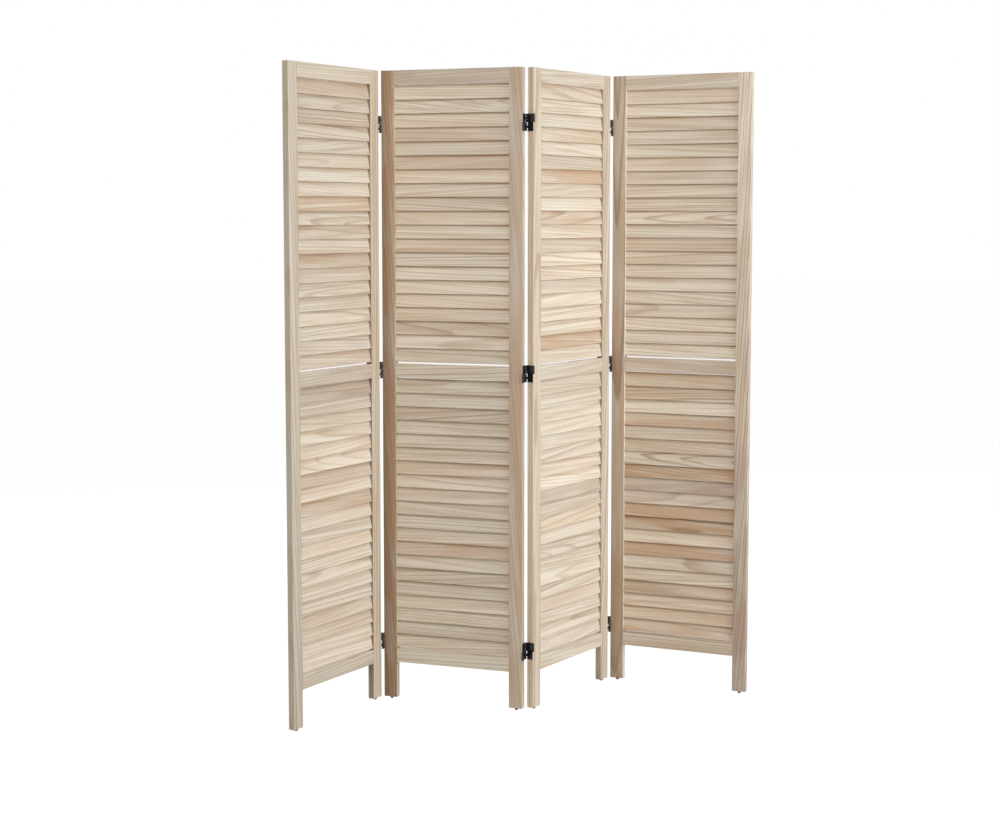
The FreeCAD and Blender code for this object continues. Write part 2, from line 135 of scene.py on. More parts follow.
class ScreenSizes(bpy.types.PropertyGroup):
    """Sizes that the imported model's boxes don't give."""

    arris: length("Arris", "Rounding of the outer edges of stiles and of most rails", 1.0 * MM)
    # The rails with this sharper arris also have painted shade on their upper edge
    sawn_arris: length("Sawn arris", "Rounding of the rails that were left as sawn", 0.3 * MM)
    slat_count: IntProperty(name="Slats", description="Slats in one field", default=20, min=2)
    slat_width: length("Slat width", "One slat across its grain", 40 * MM)
    slat_thickness: length("Slat thickness", "One slat", 5 * MM)
    slat_tilt: angle("Slat tilt", "Slat from the vertical, lower edge to the front", 11)
    slat_arris: length("Slat arris", "Rounding of a slat's long edges", 0.9 * MM)
    hinge_height: length("Hinge height", "One hinge", 45 * MM)
    hinge_gap: length("Hinge gap", "Between two panels in one line", 5 * MM)
    axis_proud: length("Axis proud", "Hinge axis in front of the panel's face", 3 * MM)
    sheet: length("Sheet", "Metal of leaves and links", 1.2 * MM)
    leaf_inset: length("Leaf inset", "Leaf plate inside the panel's faces", 0.5 * MM)
    leaf_arris: length("Leaf arris", "Rounding of a leaf's plate", 0.25 * MM)
    link_arris: length("Link arris", "Rounding of a link's plate and arms", 0.2 * MM)
    link_room: length("Link room", "Between a link's plate and the leaves' knuckles", 0.5 * MM)
    arm_lap: length("Arm lap", "A link's arms inside its plate", 1 * MM)
    arm_bite: length("Arm bite", "A link's arms inside its knuckles", 0.6 * MM)
    barrel: length("Barrel", "Diameter of a rolled knuckle", 5 * MM)
    roll: angle("Roll", "How far a leaf's sheet is rolled round its pin", 292)
    pin: length("Pin", "Diameter of a knuckle's bore", 2.4 * MM)
    pin_play: length("Pin play", "Between a pin and its bore", 0.02 * MM)
    pin_chamfer: length("Pin chamfer", "Ends of a hinge pin", 0.35 * MM)
    knuckle_gap: length("Knuckle gap", "Between knuckles along a pin", 0.25 * MM)
    screw_head: length("Screw head", "Diameter of a hinge screw's head", 6 * MM)
    screw_rise: length("Screw rise", "Raised head of a hinge screw in front of its leaf", 0.3 * MM)
    screw_sunk: length("Screw sunk", "Rim of the head below the leaf's face", 0.02 * MM)
    screw_shank: length("Screw shank", "Diameter of a hinge screw", 3 * MM)
    screw_length: length("Screw length", "Hinge screw in the stile", 15 * MM)
    screw_pitch: length("Screw pitch", "Between a leaf's two screws", 24 * MM)
    recess_span: length("Recess span", "A screw's cross recess from end to end", 3 * MM)
    recess_arm: length("Recess arm", "Width of one arm of the cross", 0.84 * MM)
    recess_depth: length("Recess depth", "The cross below the top of the head", 0.45 * MM)
    glide: length("Glide", "Diameter of a foot glide at the stile", 10 * MM)
    glide_foot: length("Glide foot", "Diameter of a foot glide at the floor", 7 * MM)
    glide_height: length("Glide height", "Head of a foot glide", 6 * MM)
    glide_round: length("Glide round", "Rounding of a foot glide at the floor", 1.2 * MM)
    glide_nail: length("Glide nail", "Diameter of a foot glide's nail", 2.5 * MM)
    nail_tip: length("Nail tip", "Diameter of the nail's blunt tip", 0.6 * MM)


class ScreenFinishes(bpy.types.PropertyGroup):
    """Colours of the wood and of the hardware, and the width of the wood's rings."""

    cream: colour("Cream wood", "Palest wood of a sanded board", (0.822, 0.743, 0.616))
    beige: colour("Beige wood", "Broad streaks along the grain", (0.685, 0.565, 0.420))
    brown: colour("Brown wood", "Late wood at the end of a growth ring", (0.410, 0.258, 0.150))
    peach: colour("Peach wood", "Warm heartwood", (0.630, 0.400, 0.242))
    mauve: colour("Mauve wood", "Dull rosy boards", (0.565, 0.420, 0.330))
    black: colour("Black paint", "Paint of the hinges", (0.010, 0.010, 0.011))
    worn: colour("Worn paint", "Paint of the hinges where it was rubbed", (0.060, 0.058, 0.055))
    steel: colour("Blackened steel", "Hinge pins", (0.090, 0.088, 0.085))
    bright: colour("Bright steel", "Drawn lines along the hinge pins", (0.200, 0.196, 0.190))
    glide: colour("Glide plastic", "Foot glides", (0.060, 0.042, 0.030))
    dusty: colour("Dusty plastic", "Foot glides where they are scuffed", (0.130, 0.105, 0.085))
    ring_pitch: length("Ring pitch", "Width of one growth ring", 6.5 * MM)


class ScreenStage(bpy.types.PropertyGroup):
    """Camera, lights and floor."""

    camera_place: position("Camera", "Where the camera stands", (-0.0714, -4.9709, 1.3211))
    camera_tilt: angle("Tilt", "Camera below the level", 5.27)
    camera_lens: FloatProperty(name="Lens", description="Focal length", default=67.38, unit="CAMERA")
    camera_shift: FloatProperty(name="Shift", description="Frame below the lens axis", default=-0.03)
    key_power: watts("Key light", "Tall light at the right", 76)
    key_size: extent("Key size", "Width and height of the tall light", (1.2, 2.6))
    key_place: position("Key place", "Where the tall light stands", (3.0, -1.8, 1.3))
    key_tint: colour("Key tint", "Colour of the tall light", (0.930, 0.970, 1.000))
    fill_power: watts("Fill light", "Light high in front", 58)
    fill_size: extent("Fill size", "Width and height of the light in front", (2.0, 2.0))
    fill_place: position("Fill place", "Where the light in front stands", (-0.6, -3.2, 3.6))
    back_power: watts("Back light", "Light behind", 66)
    back_size: extent("Back size", "Width and height of the light behind", (2.4, 2.0))
    back_place: position("Back place", "Where the light behind stands", (-0.9, 3.3, 2.2))
    ambient: share("Ambient", "Strength of the even light all round", 0.27)
    floor_half: length("Floor", "Half the floor's side", 30)
    floor_grey: colour("Floor grey", "Colour that lights the screen from below", (0.8, 0.8, 0.8))
    floor_glow: FloatProperty(name="Floor glow", description="Strength of the floor's white", default=1.18)
    floor_white: share("Floor white", "Share of that white in what is seen of the floor", 0.8)


def sizes():
    return bpy.context.scene.screen_sizes


def finishes():
    return bpy.context.scene.screen_finishes


class Wire:
    """A shader socket that does sums: an expression on wires adds the Math nodes that it needs."""

    def __init__(self, shader, socket):
        self.shader = shader
        self.socket = socket

    def sum(self, operation, *values):
        settings = {"operation": operation}
        return self.shader.add("ShaderNodeMath", settings, dict(enumerate(values)))

    def __add__(self, other):
        return self.sum("ADD", self, other)

    __radd__ = __add__

    def __sub__(self, other):
        return self.sum("SUBTRACT", self, other)

    def __rsub__(self, other):
        return self.sum("SUBTRACT", other, self)

    def __mul__(self, other):
        return self.sum("MULTIPLY", self, other)

    __rmul__ = __mul__

    def __truediv__(self, other):
        return self.sum("DIVIDE", self, other)

    def other(self, name):
        """Another output of the same node."""
        return Wire(self.shader, self.socket.node.outputs[name])

    def root(self):
        return self.sum("SQRT", self)

    def fraction(self):
        return self.sum("FRACT", self)

    def larger(self, other):
        return self.sum("MAXIMUM", self, other)

    def between(self, low, high):
        """0 below low, 1 above high and a smooth rise between them."""
        settings = {"interpolation_type": "SMOOTHSTEP"}
        return self.shader.add("ShaderNodeMapRange", settings, {0: self, 1: low, 2: high, 3: 0.0, 4: 1.0})


class Shader:
    """The nodes of one material, or of the world."""

    def __init__(self, owner, surface="Principled BSDF"):
        owner.use_nodes = True
        self.owner = owner
        self.tree = owner.node_tree
        self.surface = self.tree.nodes[surface]

    def feed(self, socket, value):
        if isinstance(value, Wire):
            self.tree.links.new(value.socket, socket)
        else:
            socket.default_value = value

    def add(self, kind, settings=None, sockets=None, output=0):
        """A node with its settings, then the values or links of its sockets."""
        node = self.tree.nodes.new(kind)
        for key, value in (settings or {}).items():
            setattr(node, key, value)
        for key, value in (sockets or {}).items():
            self.feed(node.inputs[key], value)
        return Wire(self, node.outputs[output])

    def attribute(self, name):
        return self.add("ShaderNodeAttribute", {"attribute_name": name}, output="Vector")

    def split(self, vector):
        parts = self.add("ShaderNodeSeparateXYZ", None, {0: vector})
        return [parts.other(axis) for axis in "XYZ"]

    def joined(self, x, y, z):
        return self.add("ShaderNodeCombineXYZ", None, {0: x, 1: y, 2: z})

    def noise(self, vector, detail=2.0, roughness=0.5):
        sockets = {"Vector": vector, "Scale": 1.0, "Detail": detail, "Roughness": roughness}
        return self.add("ShaderNodeTexNoise", None, sockets, "Fac")

    def marks(self, vector, across, along, detail=2.0, roughness=0.5):
        """Noise with about so many marks in a metre, across and along z."""
        sockets = {0: vector, 1: (across, across, along)}
        stretched = self.add("ShaderNodeVectorMath", {"operation": "MULTIPLY"}, sockets)
        return self.noise(stretched, detail, roughness)

    def mix(self, factor, first, second, blend="MIX"):
        settings = {"data_type": "RGBA", "blend_type": blend}
        return self.add("ShaderNodeMix", settings, {0: factor, 6: first, 7: second}, 2)

    def bump(self, height, strength, distance):
        sockets = {"Strength": strength, "Distance": distance, "Height": height}
        return self.add("ShaderNodeBump", None, sockets)

    def set(self, **sockets):
        for name, value in sockets.items():
            self.feed(self.surface.inputs[name.replace("_", " ")], value)


def opaque(shade):
    return (*shade, 1.0)


def wood(name):
    """Sanded bare wood, cut from a log: growth rings, fibres, streaks and a tone for each board.

    The log attribute gives a point's place in its log, with the pith along z. The tone attribute
    holds the board's lightness, its hue from -1 for mauve to 1 for peach, and its rings' contrast; on some
    edges and bands it holds painted light or painted shade instead.
    """
    shader = Shader(bpy.data.materials.new(name))
    shades = finishes()
    log = shader.attribute("log")
    light, hue, contrast = shader.split(shader.attribute("tone"))
    x, y, z = shader.split(log)

    # Rings stray from circles in long waves and in short ones, and some years grow more than others
    sway = shader.marks(log, across=16, along=1.8) - 0.5
    ripple = shader.marks(log, across=110, along=10) - 0.5
    radius = (x * x + y * y).root() + sway * (12 * MM) + ripple * (1.2 * MM)
    years = shader.noise(shader.joined(radius * 55, 0.0, z * 0.5), detail=1.0)
    ring = (radius / shades.ring_pitch + years * 2.5).fraction()
    # Late wood darkens slowly through a ring and ends sharply
    start, peak = 0.55, 0.92
    line = ring.between(start, peak) * (1 - ring.between(peak, 1.0))
    strength = contrast * (0.25 + years * 0.9)

    fibre = shader.marks(log, across=1300, along=20, detail=3.0, roughness=0.6)
    streak = shader.marks(log, across=95, along=2.0, detail=3.0, roughness=0.55)
    patch = shader.marks(log, across=38, along=4.5)
    # The share of a board's hue that comes and goes in patches
    patchy = 0.65
    shade = shader.mix(streak.between(0.36, 0.70), opaque(shades.cream), opaque(shades.beige))
    warm = hue.larger(0.0) * (1 - patchy + patch.between(0.35, 0.65) * patchy)
    shade = shader.mix(warm, shade, opaque(shades.peach))
    cool = (0 - hue).larger(0.0) * (1 - patchy + patch.between(0.40, 0.70) * patchy)
    shade = shader.mix(cool, shade, opaque(shades.mauve))
    shade = shader.mix(line * strength, shade, opaque(shades.brown))
    level = light * (0.93 + fibre * 0.14)
    grey = shader.add("ShaderNodeCombineColor", None, {0: level, 1: level, 2: level})
    shader.set(
        Base_Color=shader.mix(1.0, shade, grey, "MULTIPLY"),
        Roughness=0.54 + fibre * 0.14,
        Normal=shader.bump(fibre * 0.7 + line * 0.3, strength=0.25, distance=0.3 * MM),
        Specular_IOR_Level=0.35,
    )
    return shader.owner


def enamel(name):
    """Black hinge paint: glossy, a little uneven, and thinner where it was rubbed."""
    shader = Shader(bpy.data.materials.new(name))
    place = shader.add("ShaderNodeTexCoord", output="Object")
    runs = shader.marks(place, across=260, along=260, detail=3.0)
    rub = shader.marks(place, across=900, along=700, detail=4.0, roughness=0.65).between(0.60, 0.74)
    shades = finishes()
    shader.set(
        Base_Color=shader.mix(rub * 0.5, opaque(shades.black), opaque(shades.worn)),
        Roughness=0.14 + runs * 0.14 + rub * 0.15,
        Normal=shader.bump(runs, strength=0.12, distance=0.2 * MM),
        Specular_IOR_Level=0.45,
    )
    return shader.owner


def blackened(name):
    """Blackened steel of the pins, drawn along their length."""
    shader = Shader(bpy.data.materials.new(name))
    place = shader.add("ShaderNodeTexCoord", output="Object")
    drawn = shader.marks(place, across=2600, along=120)
    shades = finishes()
    bare = drawn.between(0.45, 0.75) * 0.6
    shader.set(
        Base_Color=shader.mix(bare, opaque(shades.steel), opaque(shades.bright)),
        Metallic=0.9,
        Roughness=0.30 + drawn * 0.15,
    )
    return shader.owner


def moulded(name):
    """Dark moulded plastic of the glides, scuffed all over."""
    shader = Shader(bpy.data.materials.new(name))
    place = shader.add("ShaderNodeTexCoord", output="Object")
    scuff = shader.marks(place, across=700, along=700, detail=4.0, roughness=0.7)
    shades = finishes()
    dust = scuff.between(0.52, 0.72) * 0.6
    shader.set(
        Base_Color=shader.mix(dust, opaque(shades.glide), opaque(shades.dusty)),
        Roughness=0.48 + scuff * 0.2,
        Normal=shader.bump(scuff, strength=0.3, distance=0.2 * MM),
    )
    return shader.owner


def panel_matrix(number):
    """From a panel's own frame to the scene, found from the panel's two feet."""
    feet = {mount["name"]: Vector(mount["pos_m"]) for mount in frame["record"]["mounts"]}
    left = feet[f"panel_{number}_left_foot"]
    along = (feet[f"panel_{number}_right_foot"] - left).normalized()
    back = Vector((-along.y, along.x, 0))
    turn = Matrix((along, back, Vector((0, 0, 1)))).transposed()
    return Matrix.Translation(left) @ turn.to_4x4()


def panel_box(node, number):
    """A node's lowest and highest corners in the frame of its panel."""
    to_panel = panel_matrix(number).inverted()
    points = [to_panel @ v.co for v in frame["nodes"][node].data.vertices]
    low = Vector(map(min, *points))
    high = Vector(map(max, *points))
    return low, high


# Where boards lie in their logs: how far from the pith, and how far, in radians, their cuts stray round
# the pith and lean through the board's depth
PITH_REACH = (35 * MM, 120 * MM)
PITH_STRAY = 0.35
DEPTH_LEAN = 0.020
# Half the length of log that the boards come from, so that no two show the same stretch
LOG_HALF = 20


def log_place(dice, quarter, fineness, slant):
    """A random cut from a log: from a board's (across, depth, along) to its place in the log.

    A quarter-sawn board shows straight lines on its face, and a flat-sawn one shows arches.
    A log that grew slowly has fine rings. The slant is how far the lines stray from the board's edges.
    """
    reach = dice.uniform(*PITH_REACH)
    heading = dice.gauss(0, PITH_STRAY) + (0 if quarter else math.pi / 2)
    start = dice.uniform(-LOG_HALF, LOG_HALF)
    pith = Vector((math.cos(heading) * reach, math.sin(heading) * reach, start))
    lean = Euler((dice.gauss(0, DEPTH_LEAN), dice.uniform(-slant, slant), 0)).to_matrix().to_4x4()
    growth = Matrix.Diagonal((fineness, fineness, 1, 1))
    return Matrix.Translation(pith) @ growth @ lean


def grained_form():
    """A bmesh with the two attributes that the wood shader reads."""
    form = bmesh.new()
    form.verts.layers.float_vector.new("log")
    form.verts.layers.float_vector.new("tone")
    return form


def mark_grain(form, verts, to_board, cut, tone):
    """Stores each point's place in the log and a tone: the board's own, or painted light or shade."""
    log = form.verts.layers.float_vector["log"]
    shade = form.verts.layers.float_vector["tone"]
    for vert in verts:
        vert[log] = cut @ (to_board @ vert.co)
        vert[shade] = tone


def finish_piece(form, name, node, material):
    """Makes an object of a bmesh, in the place of a node and on the node's body."""
    mesh = bpy.data.meshes.new(name)
    form.to_mesh(mesh)
    form.free()
    mesh.materials.append(material)
    piece = bpy.data.objects.new(name, mesh)
    bpy.context.scene.collection.objects.link(piece)
    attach(piece, frame["nodes"][node]["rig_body"])
    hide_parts(node)


def bevel(form, edges, width, segments=2):
    bmesh.ops.bevel(form, geom=edges, offset=width, offset_type="OFFSET", segments=segments, profile=0.5,
                    affect="EDGES", material=-1, clamp_overlap=True)


def box(form, low, high):
    """A box between two corners. Returns its vertices."""
    low, high = Vector(low), Vector(high)
    verts = bmesh.ops.create_cube(form, size=1)["verts"]
    bmesh.ops.scale(form, vec=high - low, verts=verts)
    bmesh.ops.translate(form, vec=(low + high) / 2, verts=verts)
    return verts


def edges_of(verts):
    """The edges that meet at some vertices, each once and in the same order each run."""
    return list(dict.fromkeys(edge for vert in verts for edge in vert.link_edges))


def eased_box(form, low, high, ease):
    """A box with all its edges eased."""
    bevel(form, edges_of(box(form, low, high)), ease)


def eased_board(node, number, ease):
    """A copy of a board with its tenons, mortises and slots, eased along the edges of its outer box."""
    form = grained_form()
    form.from_mesh(frame["nodes"][node].data)
    bmesh.ops.remove_doubles(form, verts=form.verts, dist=TOUCH)
    bmesh.ops.dissolve_limit(form, angle_limit=FLAT, verts=form.verts, edges=form.edges)
    to_panel = panel_matrix(number).inverted()
    low, high = panel_box(node, number)

    def sides(point):
        """How many sides of the board's box a point lies on."""
        place = to_panel @ point
        return sum(min(place[i] - low[i], high[i] - place[i]) < TOUCH for i in range(3))

    spots = {edge: [vert.co for vert in edge.verts] for edge in form.edges}
    outer = [edge for edge, (a, b) in spots.items() if min(map(sides, (a, b, (a + b) / 2))) >= 2]
    bevel(form, outer, ease)
    return form


# How fine the boards' rings are, and how far their lines stray from the boards' edges, in radians
STILE_FINENESS, STILE_SLANT = (0.45, 0.80), 0.090
RAIL_FINENESS, RAIL_SLANT = (0.55, 0.95), 0.055
SLAT_FINENESS, SLAT_SLANT = (0.70, 1.30), 0.070
# Stiles that are flat-sawn, and the shares of rails and slats that are quarter-sawn
FLAT_SAWN_STILES = ((2, "right"), (3, "left"), (4, "left"), (4, "right"))
QUARTER_RAILS, QUARTER_SLATS = 0.5, 0.6
# The frames' random draws start here
FRAME_SEED = 90
# Lightness, hue and ring contrast of the stiles
STILE_TONES = {
    (1, "left"): (0.88, 0.06, 0.55),
    (1, "right"): (0.89, 0.19, 0.95),
    (2, "left"): (0.85, 1.35, 0.95),
    (2, "right"): (0.86, 0.66, 0.50),
    (3, "left"): (0.96, 0.20, 0.70),
    (3, "right"): (0.88, 0.16, 0.95),
    (4, "left"): (0.82, 0.40, 0.95),
    (4, "right"): (1.10, -0.06, 1.05),
}
# The same at the foot of a stile that changes on the way down
FOOT_TONES = {
    (1, "left"): (0.82, 0.22, 0.65),
    (2, "left"): (0.67, 1.50, 0.95),
    (4, "left"): (0.67, 0.95, 0.95),
    (4, "right"): (0.79, -1.60, 0.90),
}
# The same for an edge with painted light or shade: painted light on the inner edges that the key light
# falls on, painted shade in the corners beside the slats' ends, and painted shade on a shaded outer edge
INNER_EDGE_LIGHT_AND_SHADE = {
    (1, "right"): (0.52, 0.50, 0.60),
    (2, "left"): (0.76, 0.10, 0.30),
    (3, "right"): (0.64, 0.35, 0.60),
    (4, "left"): (1.02, 0.00, 0.30),
}
# Painted shade on the outer edge at the free end of panel 1, darker and warmer
OUTER_EDGE_SHADE = {(1, "left"): (0.81, 0.28, 0.22)}
# The share of its lightness that a stile loses towards its outer edge: painted shade where the panel beside
# it keeps light off it
OUTER_SHADE_SHARE = {(2, "left"): 0.42, (4, "left"): 0.16}
# Lightness, hue and ring contrast of the rails that stand out
RAIL_TONES = {
    (1, "middle"): (0.86, -0.60, 0.60),
    (1, "bottom"): (0.89, -0.50, 0.60),
    (2, "top"): (0.90, -0.65, 0.70),
    (4, "middle"): (0.90, -0.75, 0.40),
    (4, "bottom"): (0.90, 0.22, 0.95),
}
# The same for the other rails, each between two bounds
USUAL_RAIL = ((0.90, 0.97), (-0.35, 0.15), (0.45, 0.75))
# Rails whose upper edge is painted with shade, and whose arris is sharper
SHADE_TOPPED_RAILS = ((1, "middle"), (2, "bottom"), (3, "middle"), (4, "bottom"))
# Painted shade: a darker, browner tone for the shadow line under a slat's lower edge and for the upper edge
# of some rails
PAINTED_SHADE_TONE = (0.72, 0.95, 0.80)
# Usual lightness and hue of a field's slats, and the spread of their hues
FIELD_TONES = {
    (1, "upper"): (0.94, 0.00, 0.20),
    (1, "lower"): (1.02, 0.00, 0.17),
    (2, "upper"): (1.05, 0.00, 0.20),
    (2, "lower"): (0.98, 0.06, 0.24),
    (3, "upper"): (1.02, -0.02, 0.14),
    (3, "lower"): (1.02, -0.02, 0.14),
    (4, "upper"): (1.02, 0.02, 0.22),
    (4, "lower"): (0.96, 0.28, 0.38),
}
# The spread of the slats' lightness, and the bounds of their ring contrast
SLAT_SPREAD, SLAT_CONTRAST = 0.05, (0.35, 0.75)
# Lightness, hue and ring contrast of the slats that stand out, counted from 0 at the foot of a field
SLAT_TONES = {
    (1, "upper", 17): (0.92, -0.50, 0.80),
    (1, "upper", 11): (0.97, 0.45, 0.60),
    (1, "upper", 7): (0.88, 0.65, 0.80),
    (1, "upper", 6): (0.95, -0.50, 0.40),
    (1, "lower", 19): (0.86, -0.95, 0.90),
    (1, "lower", 13): (0.93, 0.40, 0.60),
    (1, "lower", 11): (0.92, 0.60, 0.65),
    (2, "upper", 14): (0.97, 0.50, 0.40),
    (2, "upper", 2): (0.92, 0.30, 0.75),
    (2, "lower", 17): (0.94, -0.45, 0.80),
    (3, "upper", 16): (1.00, 0.35, 0.30),
    (3, "upper", 13): (0.97, 0.65, 0.50),
    (3, "upper", 10): (0.98, 0.50, 0.60),
    (3, "upper", 1): (0.95, 0.65, 0.55),
    (3, "lower", 11): (0.94, -0.50, 0.90),
    (4, "upper", 13): (0.99, -0.45, 0.30),
    (4, "upper", 11): (0.97, 0.20, 1.00),
    (4, "upper", 8): (0.94, 0.45, 0.55),
    (4, "lower", 19): (0.92, 0.55, 0.70),
    (4, "lower", 18): (0.90, 0.35, 1.05),
    (4, "lower", 17): (1.03, 0.00, 0.35),
    (4, "lower", 13): (0.92, -0.20, 0.95),
    (4, "lower", 12): (0.85, 1.15, 0.70),
    (4, "lower", 11): (0.87, -1.15, 0.40),
    (4, "lower", 10): (0.93, -0.55, 0.60),
    (4, "lower", 8): (0.82, 0.95, 1.00),
    (4, "lower", 6): (0.88, 0.85, 0.50),
}
# Painted shade: a darker, warmer band along a slat's upper edge, where the slat above shades it: its width,
# and what it adds to the slat's tone
TOP_SHADE_BAND = 13 * MM
TOP_SHADE_TONE = Vector((-0.08, 0.38, 0.15))


class SCREEN_OT_frames(bpy.types.Operator):
    """Stiles and rails of the panels"""

    bl_idname = "screen.frames"
    bl_label = "Stiles and rails"

    def execute(self, context):
        material = wood("frame_wood_grain_and_painted_light_shade")
        for number in PANELS:
            dice = random.Random(FRAME_SEED + number)
            for side in ("left", "right"):
                self.stile(number, side, dice, material)
            for level in ("top", "middle", "bottom"):
                self.rail(number, level, dice, material)
        return {"FINISHED"}

    def stile(self, number, side, dice, material):
        """One upright of a panel."""
        node = f"panel_{number}_{side}_stile"
        quarter = (number, side) not in FLAT_SAWN_STILES
        cut = log_place(dice, quarter, dice.uniform(*STILE_FINENESS), STILE_SLANT)
        form = eased_board(node, number, sizes().arris)
        mark_grain(form, form.verts, panel_matrix(number).inverted(), cut, STILE_TONES[number, side])
        self.shade_stile(form, node, number, side)
        finish_piece(form, f"{node}_wood", node, material)

    def rail(self, number, level, dice, material):
        """One level board of a panel."""
        node = f"panel_{number}_{level}_rail"
        usual = [dice.uniform(*bounds) for bounds in USUAL_RAIL]
        tone = RAIL_TONES.get((number, level), usual)
        quarter = dice.random() < QUARTER_RAILS
        cut = log_place(dice, quarter, dice.uniform(*RAIL_FINENESS), RAIL_SLANT)
        # These rails get painted shade on their upper edge
        sawn = (number, level) in SHADE_TOPPED_RAILS
        form = eased_board(node, number, sizes().sawn_arris if sawn else sizes().arris)
        mark_grain(form, form.verts, LENGTHWISE @ panel_matrix(number).inverted(), cut, tone)
        if sawn:
            self.paint_rail_top_shade(form)
        finish_piece(form, f"{node}_wood", node, material)

    def paint_rail_top_shade(self, form):
        """Paints shade on a rail's upper edge: a darker, browner tone."""
        shade = form.verts.layers.float_vector["tone"]
        top = max(vert.co.z for vert in form.verts)
        for vert in form.verts:
            if top - vert.co.z < TOUCH:
                vert[shade] = PAINTED_SHADE_TONE

    def shade_stile(self, form, node, number, side):
        """Lets a stile's tone change down to its foot, paints shade towards the outer edge of some stiles,
        and paints light or shade on some of their edges.
        """
        key = (number, side)
        top = Vector(STILE_TONES[key])
        foot = Vector(FOOT_TONES.get(key, top))
        to_panel = panel_matrix(number).inverted()
        low, high = panel_box(node, number)
        inner, outer = (high.x, low.x) if side == "left" else (low.x, high.x)
        shade = form.verts.layers.float_vector["tone"]
        for vert in form.verts:
            place = to_panel @ vert.co
            tone = foot.lerp(top, place.z / high.z)
            # Painted shade towards the stile's outer edge
            tone.x *= 1 - OUTER_SHADE_SHARE.get(key, 0) * (inner - place.x) / (inner - outer)
            vert[shade] = tone
            # Painted light or painted shade on an inner or an outer edge
            for edge, tones in ((inner, INNER_EDGE_LIGHT_AND_SHADE), (outer, OUTER_EDGE_SHADE)):
                if key in tones and abs(place.x - edge) < TOUCH:
                    vert[shade] = tones[key]


class SCREEN_OT_slats(bpy.types.Operator):
    """Louvre fields of the panels"""

    bl_idname = "screen.slats"
    bl_label = "Slats"

    def execute(self, context):
        material = wood("slat_wood_grain_and_painted_shade")
        for number in PANELS:
            for field in ("upper", "lower"):
                self.field(number, field, material)
        return {"FINISHED"}

    def field(self, number, field, material):
        """The slats of one field, as one piece."""
        size = sizes()
        node = f"panel_{number}_{field}_slats"
        low, high = panel_box(node, number)
        rise = size.slat_width * math.cos(size.slat_tilt) + size.slat_thickness * math.sin(size.slat_tilt)
        step = (high.z - low.z - rise) / (size.slat_count - 1)
        dice = random.Random(f"{number} {field}")
        lightness, hue, spread = FIELD_TONES[number, field]
        half = Vector(((high.x - low.x) / 2, size.slat_thickness / 2, size.slat_width / 2))
        shape = self.slat_shape(half)
        form = grained_form()
        for i in range(size.slat_count):
            start = len(form.verts)
            form.from_mesh(shape)
            form.verts.ensure_lookup_table()
            slat = form.verts[start:]
            light = dice.gauss(lightness, SLAT_SPREAD)
            usual = (light, dice.gauss(hue, spread), dice.uniform(*SLAT_CONTRAST))
            tone = SLAT_TONES.get((number, field, i), usual)
            quarter = dice.random() < QUARTER_SLATS
            cut = log_place(dice, quarter, dice.uniform(*SLAT_FINENESS), SLAT_SLANT)
            mark_grain(form, slat, LENGTHWISE, cut, tone)
            # Painted shade along the slat's upper edge
            upper = [vert for vert in slat if vert.co.z > half.z - TOP_SHADE_BAND + TOUCH]
            mark_grain(form, upper, LENGTHWISE, cut, Vector(tone) + TOP_SHADE_TONE)
            # Painted shade: the lower edge gets a browner tone for the shadow line under the slat
            sawn = [vert for vert in slat if vert.co.z < size.slat_arris / 2 - half.z]
            mark_grain(form, sawn, LENGTHWISE, cut, PAINTED_SHADE_TONE)
            middle = Vector(((low.x + high.x) / 2, 0, low.z + rise / 2 + i * step))
            tilt = Matrix.Rotation(-size.slat_tilt, 4, "X")
            place = panel_matrix(number) @ Matrix.Translation(middle) @ tilt
            bmesh.ops.transform(form, matrix=place, verts=slat)
        bpy.data.meshes.remove(shape)
        finish_piece(form, f"{node}_wood", node, material)

    def slat_shape(self, half):
        """A slat with rounded long edges, cut across its faces at the foot of its band of painted shade."""
        form = bmesh.new()
        verts = box(form, -half, half)
        long_edges = [e for e in edges_of(verts) if e.calc_length() > half.x]
        bevel(form, long_edges, sizes().slat_arris)
        band = Vector((0, 0, half.z - TOP_SHADE_BAND))
        geom = [*form.verts, *form.edges, *form.faces]
        bmesh.ops.bisect_plane(form, geom=geom, plane_co=band, plane_no=(0, 0, 1))
        shape = bpy.data.meshes.new("slat")
        form.to_mesh(shape)
        form.free()
        return shape


# Sides of the round pieces, and steps of a leaf's rolled knuckle
BARREL_SIDES = 20
PIN_SIDES = 16
SCREW_SIDES = 24
GLIDE_SIDES = 28
NAIL_SIDES = 12
ROLL_STEPS = 16
# A screw's dome above the rim of its head: shares of the head's radius and of its rise
SCREW_DOME = ((0.86, 0.62), (0.62, 1.00))


class Hinge:
    """Sizes of one hinge that follow from the set ones, and the places of the hinges."""

    def __init__(self):
        size = sizes()
        low, high = panel_box("panel_1_left_stile", 1)
        self.half_thickness = (high.y - low.y) / 2
        self.axis = self.half_thickness + size.axis_proud
        self.link = (size.hinge_height - 2 * size.knuckle_gap) / 2
        self.link_middle = size.knuckle_gap + self.link / 2
        self.knuckle = (self.link - 2 * size.knuckle_gap) / 3
        self.inside = -size.hinge_gap / 2
        self.outside = self.inside + size.sheet

    def levels(self):
        """Heights of the middles of the three hinges of a fold."""
        low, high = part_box("fold_1_left_leaves")
        rail_low, rail_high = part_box("panel_1_middle_rail")
        half = sizes().hinge_height / 2
        return [low.z + half, (rail_low.z + rail_high.z) / 2, high.z - half]

    def end(self, number, side):
        """The hinge frame at the left or right end of a panel."""
        low, high = panel_box(f"panel_{number}_{side}_stile", number)
        gap = sizes().hinge_gap / 2
        x = low.x - gap if side == "left" else high.x + gap
        return panel_matrix(number) @ Matrix.Translation((x, 0, 0))


